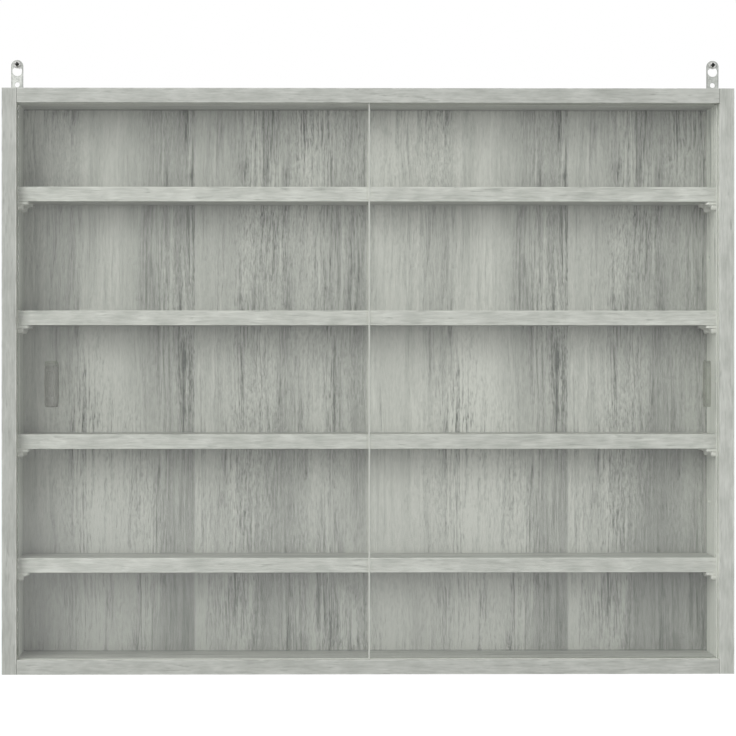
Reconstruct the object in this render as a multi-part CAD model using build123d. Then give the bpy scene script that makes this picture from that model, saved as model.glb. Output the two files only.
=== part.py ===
from build123d import *
import os

# Wall display cabinet: a shallow wood-grain board case with four shelves,
# two glass doors that slide in twin-channel tracks, and two keyhole hangers.
# Lengths are millimetres. X runs right, Y runs back to the wall, Z runs up.
# The wall is at Y = 0. Z = 0 is the height of the hangers' small round holes.

# Case
CABINET_WIDTH = 800.0
CABINET_HEIGHT = 640.0
CABINET_DEPTH = 85.0
BOARD_THICKNESS = 16.0
EDGE_BAND_THICKNESS = 0.8
EDGE_BAND_ROUNDING = 0.4

# Back panel, held in a groove that runs round the case
BACK_THICKNESS = 3.0
BACK_INSET = 5.0
BACK_GROOVE_DEPTH = 5.0
BACK_FIT = 0.1

# Shelves: the top and bottom bays have their own heights, the others share the rest
SHELF_COUNT = 4
SHELF_THICKNESS = 16.0
SHELF_SETBACK = 14.5
SHELF_END_GAP = 1.0
SHELF_REAR_GAP = 1.0
TOP_BAY_HEIGHT = 91.0
BOTTOM_BAY_HEIGHT = 94.0

# Shelf supports: a ledge on a round-nosed boss, a web between them and a pin into the side panel
SUPPORT_LENGTH = 12.0
SUPPORT_WIDTH = 12.0
SUPPORT_LEDGE_THICKNESS = 3.0
SUPPORT_CORNER_RADIUS = 3.0
SUPPORT_BOSS_RADIUS = 4.2
SUPPORT_BOSS_LENGTH = 6.0
SUPPORT_BOSS_ROUNDING = 2.2
SUPPORT_WEB_THICKNESS = 1.6
SUPPORT_WEB_REACH = 9.5
SUPPORT_PIN_RADIUS = 2.5
SUPPORT_PIN_LENGTH = 9.0
SUPPORT_PIN_DROP = 5.0
SUPPORT_FRONT_INSET = 8.0
SUPPORT_REAR_INSET = 14.0
SPARE_HOLE_DROP = 60.5

# Glass doors
GLASS_THICKNESS = 3.0
GLASS_EDGE_LAND = 0.2
GLASS_CHAMFER = 0.3
DOOR_END_GAP = 0.5
DOOR_OVERLAP = 4.0
DOOR_RUNNING_GAP = 0.3
DOOR_TOP_ENGAGEMENT = 4.0

# Door tracks, let into the top and bottom panels
TRACK_SETBACK = 2.5
TRACK_WALL = 1.0
TRACK_BASE = 1.0
TRACK_CHANNEL_WIDTH = 4.0
TOP_CHANNEL_DEPTH = 8.0
BOTTOM_CHANNEL_DEPTH = 3.0
TRACK_FIT = 0.1
TRACK_END_FIT = 0.2

# Finger pulls, stuck on the doors' front faces
PULL_HEIGHT = 51.0
PULL_BELOW_MIDDLE = 3.0
PULL_CORNER_RADIUS = 1.2
LEFT_PULL_WIDTH = 15.3
LEFT_PULL_INSET = 29.9
LEFT_PULL_PLATE = 1.2
LEFT_PULL_LIP_WIDTH = 4.4
LEFT_PULL_LIP_RISE = 1.4
RIGHT_PULL_WIDTH = 8.8
RIGHT_PULL_INSET = 7.3
RIGHT_PULL_LIP_WIDTH = 3.0
RIGHT_PULL_LIP_RISE = 0.6
RIGHT_PULL_CLEARANCE = 0.6

# Wall hangers: steel strips with a keyhole, screwed into seats in the side panels' rear edges
HANGER_WIDTH = 13.5
HANGER_THICKNESS = 1.5
HANGER_RISE = 40.5
HANGER_SEAT_LENGTH = 45.0
HANGER_SEAT_FIT = 0.3
HANGER_HOLE_RISE = 12.8
HANGER_HOLE_RADIUS = 2.8
KEYHOLE_RISE = 28.0
KEYHOLE_RADIUS = 5.5
KEYHOLE_SLOT_RISE = 35.5
KEYHOLE_SLOT_RADIUS = 2.5
HANGER_SCREW_COUNT = 2
HANGER_SCREW_DROP = 20.0
HANGER_SCREW_SPACING = 17.0

# Countersunk screws that hold the hangers
HANGER_SCREW_RADIUS = 1.75
HANGER_SCREW_HEAD_RADIUS = 3.25
HANGER_SCREW_LENGTH = 25.0
HANGER_SCREW_POINT = 4.0

# Round-headed screws in the wall that the keyholes hang on
WALL_SCREW_NECK_RADIUS = 2.3
WALL_SCREW_RADIUS = 2.0
WALL_SCREW_LENGTH = 25.0
WALL_SCREW_POINT = 5.0
WALL_SCREW_HEAD_RADIUS = 4.5
WALL_SCREW_HEAD_HEIGHT = 3.6

# Shared by every screw: how far the point tapers, and the cross recess in its head
POINT_SHARPNESS = 5.0
RECESS_WIDTH = 1.0
RECESS_DEPTH_SHARE = 0.5
RECESS_SPAN_SHARE = 1.3

# Corner joints: one cam and bolt and two dowels at each corner
CAM_RADIUS = 7.3
CAM_HEIGHT = 12.5
CAM_FIT = 0.2
CAM_FROM_END = 24.0
CAM_BOLT_RADIUS = 2.0
CAM_BOLT_HEAD_RADIUS = 3.2
CAM_BOLT_HEAD_LENGTH = 2.5
CAM_BOLT_FIT = 0.3
CAM_THREAD_RADIUS = 2.5
CAM_THREAD_LENGTH = 9.0
DOWEL_RADIUS = 4.0
DOWEL_IN_SIDE = 9.5
DOWEL_IN_PANEL = 18.5
DOWEL_FROM_TRACK = 1.5
DOWEL_FROM_BACK = 12.0

# Shared by every drilled hole and cut
HOLE_FIT = 0.05
HOLE_END_SPACE = 0.5
CUT_OVERSHOOT = 1.0

# Places worked out from the sizes above
SIDES = {"left": -1, "right": 1}
LEVELS = {"top": 1, "bottom": -1}
OUTER_X = CABINET_WIDTH / 2
INNER_X = OUTER_X - BOARD_THICKNESS
SIDE_MIDDLE_X = OUTER_X - BOARD_THICKNESS / 2
FRONT_Y = -CABINET_DEPTH
BOARD_FRONT_Y = FRONT_Y + EDGE_BAND_THICKNESS
TOP_Z = -HANGER_HOLE_RISE
BOTTOM_Z = TOP_Z - CABINET_HEIGHT
CEILING_Z = TOP_Z - BOARD_THICKNESS
FLOOR_Z = BOTTOM_Z + BOARD_THICKNESS
MIDDLE_Z = (TOP_Z + BOTTOM_Z) / 2
OUTER_Z = {"top": TOP_Z, "bottom": BOTTOM_Z}
INNER_Z = {"top": CEILING_Z, "bottom": FLOOR_Z}
CHANNEL_DEPTH = {"top": TOP_CHANNEL_DEPTH, "bottom": BOTTOM_CHANNEL_DEPTH}
BACK_REAR_Y = -BACK_INSET
BACK_FRONT_Y = BACK_REAR_Y - BACK_THICKNESS
SHELF_FRONT_Y = FRONT_Y + SHELF_SETBACK
SHELF_REAR_Y = BACK_FRONT_Y - SHELF_REAR_GAP
SHELF_PITCH = (
    CEILING_Z - FLOOR_Z - TOP_BAY_HEIGHT - BOTTOM_BAY_HEIGHT - SHELF_THICKNESS
) / (SHELF_COUNT - 1)
SHELF_UNDERSIDES = [
    CEILING_Z - TOP_BAY_HEIGHT - SHELF_THICKNESS - index * SHELF_PITCH for index in range(SHELF_COUNT)
]
SUPPORT_Y = {
    "front": SHELF_FRONT_Y + SUPPORT_FRONT_INSET,
    "rear": SHELF_REAR_Y - SUPPORT_REAR_INSET,
}
TRACK_WIDTH = 2 * TRACK_CHANNEL_WIDTH + 3 * TRACK_WALL
TRACK_FRONT_Y = FRONT_Y + TRACK_SETBACK
CHANNEL_PITCH = TRACK_CHANNEL_WIDTH + TRACK_WALL
DOOR_WIDTH = INNER_X - DOOR_END_GAP + DOOR_OVERLAP / 2
DOOR_LANE = {"left": 0, "right": 1}
HANGER_TIP_Z = TOP_Z + HANGER_RISE
HANGER_FRONT_Y = -HANGER_THICKNESS
SLOT_Z = TOP_Z + KEYHOLE_SLOT_RISE
HANGER_SCREW_Z = [
    TOP_Z - HANGER_SCREW_DROP - index * HANGER_SCREW_SPACING for index in range(HANGER_SCREW_COUNT)
]
JOINT_Y = (FRONT_Y + BACK_REAR_Y) / 2
DOWEL_Y = [
    TRACK_FRONT_Y + TRACK_WIDTH + DOWEL_FROM_TRACK + DOWEL_RADIUS,
    BACK_FRONT_Y - DOWEL_FROM_BACK - DOWEL_RADIUS,
]


def block(x_ends, y_ends, z_ends):
    """A box between two values on each axis, given in either order."""
    size = [abs(ends[1] - ends[0]) for ends in (x_ends, y_ends, z_ends)]
    middle = [(ends[1] + ends[0]) / 2 for ends in (x_ends, y_ends, z_ends)]
    return Pos(*middle) * Box(*size)


def rod_x(radius, x_ends, y, z):
    """A round bar along X between two values of X."""
    turn = Rot(0, 90, 0)
    return Pos(sum(x_ends) / 2, y, z) * turn * Cylinder(radius, abs(x_ends[1] - x_ends[0]))


def rod_y(radius, x, y_ends, z):
    """A round bar along Y between two values of Y."""
    turn = Rot(90, 0, 0)
    return Pos(x, sum(y_ends) / 2, z) * turn * Cylinder(radius, abs(y_ends[1] - y_ends[0]))


def rod_z(radius, x, y, z_ends):
    """A round bar along Z between two values of Z."""
    return Pos(x, y, sum(z_ends) / 2) * Cylinder(radius, abs(z_ends[1] - z_ends[0]))


def taper_y(front_radius, rear_radius, x, y_ends, z):
    """A round taper along Y, from the front value of Y to the rear one."""
    turn = Rot(-90, 0, 0)
    return Pos(x, sum(y_ends) / 2, z) * turn * Cone(front_radius, rear_radius, y_ends[1] - y_ends[0])


def round_front(band):
    """Round the front edges of an edge band, as the trimming knife leaves them."""
    front_edges = band.faces().sort_by(Axis.Y)[0].edges()
    return fillet(front_edges, EDGE_BAND_ROUNDING)


def support_hole(side, y, z):
    """The hole for a shelf support's pin, in the inner face of a side panel."""
    depth = SUPPORT_PIN_LENGTH + HOLE_END_SPACE
    return rod_x(SUPPORT_PIN_RADIUS + HOLE_FIT, (side * INNER_X, side * (INNER_X + depth)), y, z)


def joint_z(level):
    """The height of the middle of the top or bottom panel."""
    return (OUTER_Z[level] + INNER_Z[level]) / 2


def side_panel(side):
    """A full-height side board with its groove, hanger seat and every drilled hole."""
    panel = block(
        (side * INNER_X, side * OUTER_X),
        (BOARD_FRONT_Y, 0),
        (BOTTOM_Z + EDGE_BAND_THICKNESS, TOP_Z - EDGE_BAND_THICKNESS),
    )
    panel -= block(
        (side * (INNER_X - CUT_OVERSHOOT), side * (INNER_X + BACK_GROOVE_DEPTH)),
        (BACK_FRONT_Y - BACK_FIT, BACK_REAR_Y + BACK_FIT),
        (FLOOR_Z - BACK_GROOVE_DEPTH, CEILING_Z + BACK_GROOVE_DEPTH),
    )
    panel -= block(
        (side * (INNER_X - CUT_OVERSHOOT), side * (OUTER_X + CUT_OVERSHOOT)),
        (HANGER_FRONT_Y, CUT_OVERSHOOT),
        (TOP_Z - HANGER_SEAT_LENGTH - HANGER_SEAT_FIT, TOP_Z + CUT_OVERSHOOT),
    )
    holes = []
    for z in HANGER_SCREW_Z:
        hole_end = -HANGER_SCREW_LENGTH - HOLE_END_SPACE
        holes.append(rod_y(HANGER_SCREW_RADIUS + HOLE_FIT, side * SIDE_MIDDLE_X, (hole_end, 0), z))
    for y in SUPPORT_Y.values():
        for underside in SHELF_UNDERSIDES:
            holes.append(support_hole(side, y, underside - SUPPORT_PIN_DROP))
        for underside in SHELF_UNDERSIDES[:-1]:
            holes.append(support_hole(side, y, underside - SPARE_HOLE_DROP))
    for level in LEVELS:
        thread_end = INNER_X + CAM_THREAD_LENGTH + HOLE_END_SPACE
        thread_ends = (side * INNER_X, side * thread_end)
        holes.append(rod_x(CAM_THREAD_RADIUS + HOLE_FIT, thread_ends, JOINT_Y, joint_z(level)))
        for y in DOWEL_Y:
            dowel_ends = (side * INNER_X, side * (INNER_X + DOWEL_IN_SIDE + HOLE_END_SPACE))
            holes.append(rod_x(DOWEL_RADIUS + HOLE_FIT, dowel_ends, y, joint_z(level)))
    return panel - holes


def level_panel(level):
    """The top or bottom board, grooved for its track and the back and drilled for its joints."""
    out = LEVELS[level]
    inner = INNER_Z[level]
    outer = OUTER_Z[level]
    panel = block((-INNER_X, INNER_X), (BOARD_FRONT_Y, 0), (inner, outer))
    panel -= block(
        (-INNER_X - CUT_OVERSHOOT, INNER_X + CUT_OVERSHOOT),
        (TRACK_FRONT_Y - TRACK_FIT, TRACK_FRONT_Y + TRACK_WIDTH + TRACK_FIT),
        (inner - out * CUT_OVERSHOOT, inner + out * (CHANNEL_DEPTH[level] + TRACK_BASE)),
    )
    panel -= block(
        (-INNER_X - CUT_OVERSHOOT, INNER_X + CUT_OVERSHOOT),
        (BACK_FRONT_Y - BACK_FIT, BACK_REAR_Y + BACK_FIT),
        (inner - out * CUT_OVERSHOOT, inner + out * BACK_GROOVE_DEPTH),
    )
    holes = []
    for side in SIDES.values():
        cam_x = side * (INNER_X - CAM_FROM_END)
        holes.append(rod_z(CAM_RADIUS + CAM_FIT, cam_x, JOINT_Y, (outer - out * CAM_HEIGHT, outer)))
        bolt_ends = (cam_x, side * INNER_X)
        holes.append(rod_x(CAM_BOLT_HEAD_RADIUS + CAM_BOLT_FIT, bolt_ends, JOINT_Y, joint_z(level)))
        for y in DOWEL_Y:
            dowel_ends = (side * (INNER_X - DOWEL_IN_PANEL - HOLE_END_SPACE), side * INNER_X)
            holes.append(rod_x(DOWEL_RADIUS + HOLE_FIT, dowel_ends, y, joint_z(level)))
    return panel - holes


def back_panel():
    """The thin back sheet, set into the groove on all four sides."""
    half_width = INNER_X + BACK_GROOVE_DEPTH - BACK_FIT
    z_ends = (FLOOR_Z - BACK_GROOVE_DEPTH + BACK_FIT, CEILING_Z + BACK_GROOVE_DEPTH - BACK_FIT)
    return block((-half_width, half_width), (BACK_FRONT_Y, BACK_REAR_Y), z_ends)


def side_front_band(side):
    """The band on a side panel's front edge, as tall as the case."""
    band = block((side * INNER_X, side * OUTER_X), (FRONT_Y, BOARD_FRONT_Y), (BOTTOM_Z, TOP_Z))
    return round_front(band)


def level_front_band(level):
    """The band on the front edge of the top or bottom panel."""
    band = block((-INNER_X, INNER_X), (FRONT_Y, BOARD_FRONT_Y), (INNER_Z[level], OUTER_Z[level]))
    return round_front(band)


def end_band(side, level):
    """The band on a side panel's top or bottom end, cut short for the hanger at the top."""
    rear = {"top": HANGER_FRONT_Y, "bottom": 0}[level]
    inner_face = OUTER_Z[level] - LEVELS[level] * EDGE_BAND_THICKNESS
    return block((side * INNER_X, side * OUTER_X), (BOARD_FRONT_Y, rear), (inner_face, OUTER_Z[level]))


def shelf_board(underside):
    """One shelf without its band, loose on its supports."""
    half_length = INNER_X - SHELF_END_GAP
    y_ends = (SHELF_FRONT_Y + EDGE_BAND_THICKNESS, SHELF_REAR_Y)
    return block((-half_length, half_length), y_ends, (underside, underside + SHELF_THICKNESS))


def shelf_band(underside):
    """The band on one shelf's front edge."""
    half_length = INNER_X - SHELF_END_GAP
    y_ends = (SHELF_FRONT_Y, SHELF_FRONT_Y + EDGE_BAND_THICKNESS)
    band = block((-half_length, half_length), y_ends, (underside, underside + SHELF_THICKNESS))
    return round_front(band)


def shelf_support(side, y, top):
    """A support under one shelf end: ledge, boss, web and pin as one moulding."""
    wall = side * INNER_X
    free_end = 0 if side > 0 else -1
    y_ends = (y - SUPPORT_WIDTH / 2, y + SUPPORT_WIDTH / 2)
    ledge_bottom = top - SUPPORT_LEDGE_THICKNESS
    ledge = block((wall, wall - side * SUPPORT_LENGTH), y_ends, (ledge_bottom, top))
    ledge_end = ledge.faces().sort_by(Axis.X)[free_end]
    ledge = fillet(ledge_end.edges().filter_by(Axis.Z), SUPPORT_CORNER_RADIUS)
    pin_z = top - SUPPORT_PIN_DROP
    boss_x = wall - side * SUPPORT_BOSS_LENGTH
    boss = rod_x(SUPPORT_BOSS_RADIUS, (wall, boss_x), y, pin_z)
    boss_end = boss.faces().sort_by(Axis.X)[free_end]
    boss = fillet(boss_end.edges(), SUPPORT_BOSS_ROUNDING)
    web_outline = Polyline(
        (wall, ledge_bottom),
        (wall - side * SUPPORT_WEB_REACH, ledge_bottom),
        (boss_x, pin_z),
        (wall, pin_z),
        close=True,
    )
    web_plane = Plane((0, y + SUPPORT_WEB_THICKNESS / 2, 0), x_dir=(1, 0, 0), z_dir=(0, -1, 0))
    web = extrude(web_plane * make_face(web_outline), SUPPORT_WEB_THICKNESS)
    pin = rod_x(SUPPORT_PIN_RADIUS, (wall, wall + side * SUPPORT_PIN_LENGTH), y, pin_z)
    return ledge + boss + web + pin


def track(level):
    """A twin-channel track, let in flush with the inner face of its panel."""
    out = LEVELS[level]
    inner = INNER_Z[level]
    half_length = INNER_X - TRACK_END_FIT
    z_ends = (inner, inner + out * (CHANNEL_DEPTH[level] + TRACK_BASE))
    profile = block((-half_length, half_length), (TRACK_FRONT_Y, TRACK_FRONT_Y + TRACK_WIDTH), z_ends)
    for lane in DOOR_LANE.values():
        channel_front = TRACK_FRONT_Y + TRACK_WALL + lane * CHANNEL_PITCH
        profile -= block(
            (-half_length - CUT_OVERSHOOT, half_length + CUT_OVERSHOOT),
            (channel_front, channel_front + TRACK_CHANNEL_WIDTH),
            (inner - out * CUT_OVERSHOOT, inner + out * CHANNEL_DEPTH[level]),
        )
    return profile


def glass_front_y(door):
    """The front face of a door's glass, midway in its channel."""
    channel_front = TRACK_FRONT_Y + TRACK_WALL + DOOR_LANE[door] * CHANNEL_PITCH
    return channel_front + (TRACK_CHANNEL_WIDTH - GLASS_THICKNESS) / 2


def door_outer_x(door):
    """The closed door's outer edge, a small gap from its side panel."""
    return SIDES[door] * (INNER_X - DOOR_END_GAP)


def door_glass(door):
    """One glass pane with pencil-ground sides and chamfered ends, standing in both tracks."""
    outer = door_outer_x(door)
    front = glass_front_y(door)
    z_ends = (FLOOR_Z - BOTTOM_CHANNEL_DEPTH + DOOR_RUNNING_GAP, CEILING_Z + DOOR_TOP_ENGAGEMENT)
    pane = block((outer, outer - SIDES[door] * DOOR_WIDTH), (front, front + GLASS_THICKNESS), z_ends)
    pane = fillet(pane.edges().filter_by(Axis.Z), (GLASS_THICKNESS - GLASS_EDGE_LAND) / 2)
    ends = pane.faces().sort_by(Axis.Z)
    return chamfer(ends[0].edges() + ends[-1].edges(), GLASS_CHAMFER)


def door_pull(door, width, inset, plate, lip_width, lip_rise):
    """A stick-on finger pull: a flat plate with a raised lip along its right-hand side."""
    outer = door_outer_x(door)
    near = outer - SIDES[door] * inset
    far = near - SIDES[door] * width
    left_x = min(near, far)
    right_x = max(near, far)
    glass = glass_front_y(door)
    middle = MIDDLE_Z - PULL_BELOW_MIDDLE
    z_ends = (middle - PULL_HEIGHT / 2, middle + PULL_HEIGHT / 2)
    base = block((left_x, right_x), (glass - plate, glass), z_ends)
    base = fillet(base.edges().filter_by(Axis.Y), PULL_CORNER_RADIUS)
    lip = block((right_x - lip_width, right_x), (glass - plate - lip_rise, glass - plate), z_ends)
    lip = fillet(lip.edges().filter_by(Axis.Y), PULL_CORNER_RADIUS)
    return base + lip


def cross_recess(x, y, z, head_radius, depth, normal):
    """Two crossed bars that cut a screwdriver recess, into a face whose normal is Y or Z."""
    reach = head_radius * RECESS_SPAN_SHARE / 2
    half = RECESS_WIDTH / 2
    if normal == "Y":
        across = block((x - reach, x + reach), (y - depth, y + depth), (z - half, z + half))
        upright = block((x - half, x + half), (y - depth, y + depth), (z - reach, z + reach))
    else:
        across = block((x - reach, x + reach), (y - half, y + half), (z - depth, z + depth))
        upright = block((x - half, x + half), (y - reach, y + reach), (z - depth, z + depth))
    return across + upright


def wall_hanger(side):
    """A steel strip with round ends, a keyhole, a small round hole and two countersunk holes."""
    x = side * SIDE_MIDDLE_X
    half_width = HANGER_WIDTH / 2
    thickness = (HANGER_FRONT_Y, 0)
    upper_centre = HANGER_TIP_Z - half_width
    lower_centre = TOP_Z - HANGER_SEAT_LENGTH + half_width
    strip = block((x - half_width, x + half_width), thickness, (lower_centre, upper_centre))
    strip += rod_y(half_width, x, thickness, upper_centre)
    strip += rod_y(half_width, x, thickness, lower_centre)
    keyhole_z = TOP_Z + KEYHOLE_RISE
    strip -= rod_y(KEYHOLE_RADIUS, x, thickness, keyhole_z)
    strip -= rod_y(KEYHOLE_SLOT_RADIUS, x, thickness, SLOT_Z)
    slot_x = (x - KEYHOLE_SLOT_RADIUS, x + KEYHOLE_SLOT_RADIUS)
    strip -= block(slot_x, thickness, (keyhole_z, SLOT_Z))
    strip -= rod_y(HANGER_HOLE_RADIUS, x, thickness, 0)
    for z in HANGER_SCREW_Z:
        small = HANGER_SCREW_RADIUS + HOLE_FIT
        large = HANGER_SCREW_HEAD_RADIUS + HOLE_FIT
        strip -= taper_y(small, large, x, thickness, z)
    return strip


def hanger_screw(x, z):
    """A countersunk wood screw, its head flush with the hanger's wall face."""
    point_y = -HANGER_SCREW_LENGTH
    shank_end = point_y + HANGER_SCREW_POINT
    screw = rod_y(HANGER_SCREW_RADIUS, x, (shank_end, HANGER_FRONT_Y), z)
    screw += taper_y(HANGER_SCREW_RADIUS, HANGER_SCREW_HEAD_RADIUS, x, (HANGER_FRONT_Y, 0), z)
    screw += taper_y(HANGER_SCREW_RADIUS / POINT_SHARPNESS, HANGER_SCREW_RADIUS, x, (point_y, shank_end), z)
    return screw - cross_recess(x, 0, z, HANGER_SCREW_HEAD_RADIUS, HANGER_THICKNESS * RECESS_DEPTH_SHARE, "Y")


def wall_screw(side):
    """The screw a keyhole hangs on: a domed head in front, a neck in the slot and a shank in the wall."""
    x = side * SIDE_MIDDLE_X
    height = WALL_SCREW_HEAD_HEIGHT
    dome_radius = (height**2 + WALL_SCREW_HEAD_RADIUS**2) / (2 * height)
    crown_y = HANGER_FRONT_Y - height
    dome = Pos(x, crown_y + dome_radius, SLOT_Z) * Sphere(dome_radius)
    head = dome & rod_y(dome_radius, x, (crown_y - CUT_OVERSHOOT, HANGER_FRONT_Y), SLOT_Z)
    head -= cross_recess(x, crown_y, SLOT_Z, WALL_SCREW_HEAD_RADIUS, height * RECESS_DEPTH_SHARE, "Y")
    screw = head + rod_y(WALL_SCREW_NECK_RADIUS, x, (HANGER_FRONT_Y, 0), SLOT_Z)
    screw += rod_y(WALL_SCREW_RADIUS, x, (0, WALL_SCREW_LENGTH), SLOT_Z)
    point_ends = (WALL_SCREW_LENGTH, WALL_SCREW_LENGTH + WALL_SCREW_POINT)
    return screw + taper_y(WALL_SCREW_RADIUS, WALL_SCREW_RADIUS / POINT_SHARPNESS, x, point_ends, SLOT_Z)


def cam_lock(side, level):
    """A round cam, slotted to take the bolt's head, with a cross recess in its outer face."""
    out = LEVELS[level]
    outer = OUTER_Z[level]
    x = side * (INNER_X - CAM_FROM_END)
    z = joint_z(level)
    cam = rod_z(CAM_RADIUS, x, JOINT_Y, (outer - out * CAM_HEIGHT, outer))
    shaft_ends = (x, x + side * (CAM_RADIUS + CUT_OVERSHOOT))
    cam -= rod_x(CAM_BOLT_RADIUS + CAM_BOLT_FIT, shaft_ends, JOINT_Y, z)
    head_reach = CAM_BOLT_HEAD_LENGTH / 2 + CAM_BOLT_FIT
    cam -= rod_x(CAM_BOLT_HEAD_RADIUS + CAM_BOLT_FIT, (x - head_reach, x + head_reach), JOINT_Y, z)
    return cam - cross_recess(x, JOINT_Y, outer, CAM_RADIUS, RECESS_WIDTH, "Z")


def cam_bolt(side, level):
    """The bolt from a side panel into its cam: thread, thin shaft and head."""
    z = joint_z(level)
    head_x = side * (INNER_X - CAM_FROM_END)
    half_head = CAM_BOLT_HEAD_LENGTH / 2
    bolt = rod_x(CAM_THREAD_RADIUS, (side * INNER_X, side * (INNER_X + CAM_THREAD_LENGTH)), JOINT_Y, z)
    bolt += rod_x(CAM_BOLT_RADIUS, (head_x, side * INNER_X), JOINT_Y, z)
    bolt += rod_x(CAM_BOLT_HEAD_RADIUS, (head_x - half_head, head_x + half_head), JOINT_Y, z)
    return bolt


def dowel(side, level, y):
    """A wooden dowel across one corner joint."""
    x_ends = (side * (INNER_X - DOWEL_IN_PANEL), side * (INNER_X + DOWEL_IN_SIDE))
    return rod_x(DOWEL_RADIUS, x_ends, y, joint_z(level))


nodes = {}

# The case
for side_name, side in SIDES.items():
    nodes[f"{side_name}_side_panel"] = side_panel(side)
    nodes[f"{side_name}_side_front_band"] = side_front_band(side)
    for level in LEVELS:
        nodes[f"{side_name}_side_{level}_end_band"] = end_band(side, level)
for level in LEVELS:
    nodes[f"{level}_panel"] = level_panel(level)
    nodes[f"{level}_front_band"] = level_front_band(level)
    nodes[f"{level}_track"] = track(level)
nodes["back_panel"] = back_panel()

# The shelves on their supports, numbered from the top
for number, underside in enumerate(SHELF_UNDERSIDES, start=1):
    nodes[f"shelf_{number}"] = shelf_board(underside)
    nodes[f"shelf_{number}_front_band"] = shelf_band(underside)
    for side_name, side in SIDES.items():
        for place, y in SUPPORT_Y.items():
            nodes[f"shelf_{number}_support_{side_name}_{place}"] = shelf_support(side, y, underside)

# The doors
for door in SIDES:
    nodes[f"{door}_door_glass"] = door_glass(door)
nodes["left_door_pull"] = door_pull(
    "left", LEFT_PULL_WIDTH, LEFT_PULL_INSET, LEFT_PULL_PLATE, LEFT_PULL_LIP_WIDTH, LEFT_PULL_LIP_RISE
)
door_gap = CHANNEL_PITCH - GLASS_THICKNESS
right_pull_plate = door_gap - RIGHT_PULL_CLEARANCE - RIGHT_PULL_LIP_RISE
nodes["right_door_pull"] = door_pull(
    "right", RIGHT_PULL_WIDTH, RIGHT_PULL_INSET, right_pull_plate, RIGHT_PULL_LIP_WIDTH, RIGHT_PULL_LIP_RISE
)

# Hangers and fixings
for side_name, side in SIDES.items():
    nodes[f"{side_name}_wall_hanger"] = wall_hanger(side)
    nodes[f"{side_name}_hanger_screws"] = Compound(
        children=[hanger_screw(side * SIDE_MIDDLE_X, z) for z in HANGER_SCREW_Z]
    )
    nodes[f"{side_name}_wall_screw"] = wall_screw(side)
corners = [(side, level) for side in SIDES.values() for level in LEVELS]
nodes["cam_locks"] = Compound(children=[cam_lock(side, level) for side, level in corners])
nodes["cam_bolts"] = Compound(children=[cam_bolt(side, level) for side, level in corners])
nodes["corner_dowels"] = Compound(
    children=[dowel(side, level, y) for side, level in corners for y in DOWEL_Y]
)

os.makedirs("parts", exist_ok=True)
for name, shape in nodes.items():
    export_step(shape, f"parts/{name}.step")
print(len(nodes), "nodes")
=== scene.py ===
import math

import bpy
import numpy as np
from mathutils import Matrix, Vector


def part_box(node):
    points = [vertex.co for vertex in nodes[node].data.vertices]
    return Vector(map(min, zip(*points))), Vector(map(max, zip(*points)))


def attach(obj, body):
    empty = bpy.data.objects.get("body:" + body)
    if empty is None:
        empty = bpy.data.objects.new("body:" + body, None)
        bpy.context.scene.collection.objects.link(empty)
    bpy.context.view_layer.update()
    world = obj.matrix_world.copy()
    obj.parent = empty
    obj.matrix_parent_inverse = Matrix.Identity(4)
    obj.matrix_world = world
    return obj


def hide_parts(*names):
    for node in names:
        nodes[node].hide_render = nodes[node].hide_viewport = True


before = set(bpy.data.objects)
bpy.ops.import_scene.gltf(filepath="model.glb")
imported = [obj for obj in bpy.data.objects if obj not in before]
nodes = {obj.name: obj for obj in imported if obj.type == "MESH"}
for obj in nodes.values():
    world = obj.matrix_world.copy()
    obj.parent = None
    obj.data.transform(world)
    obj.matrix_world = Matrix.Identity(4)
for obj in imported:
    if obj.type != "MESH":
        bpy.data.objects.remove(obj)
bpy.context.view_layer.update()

# Places that the looks depend on, in metres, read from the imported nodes
CASE_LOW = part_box("left_side_front_band")[0]
CASE_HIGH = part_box("right_side_front_band")[1]
FRONT_Y = CASE_LOW.y
BACK_REAR_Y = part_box("back_panel")[1].y
INNER_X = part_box("top_front_band")[1].x
CEILING_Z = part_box("top_front_band")[0].z
FLOOR_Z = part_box("bottom_front_band")[1].z
CENTRE = (0.0, FRONT_Y / 2, (CASE_LOW.z + CASE_HIGH.z) / 2)
X_AXIS, Y_AXIS, Z_AXIS = range(3)


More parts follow.
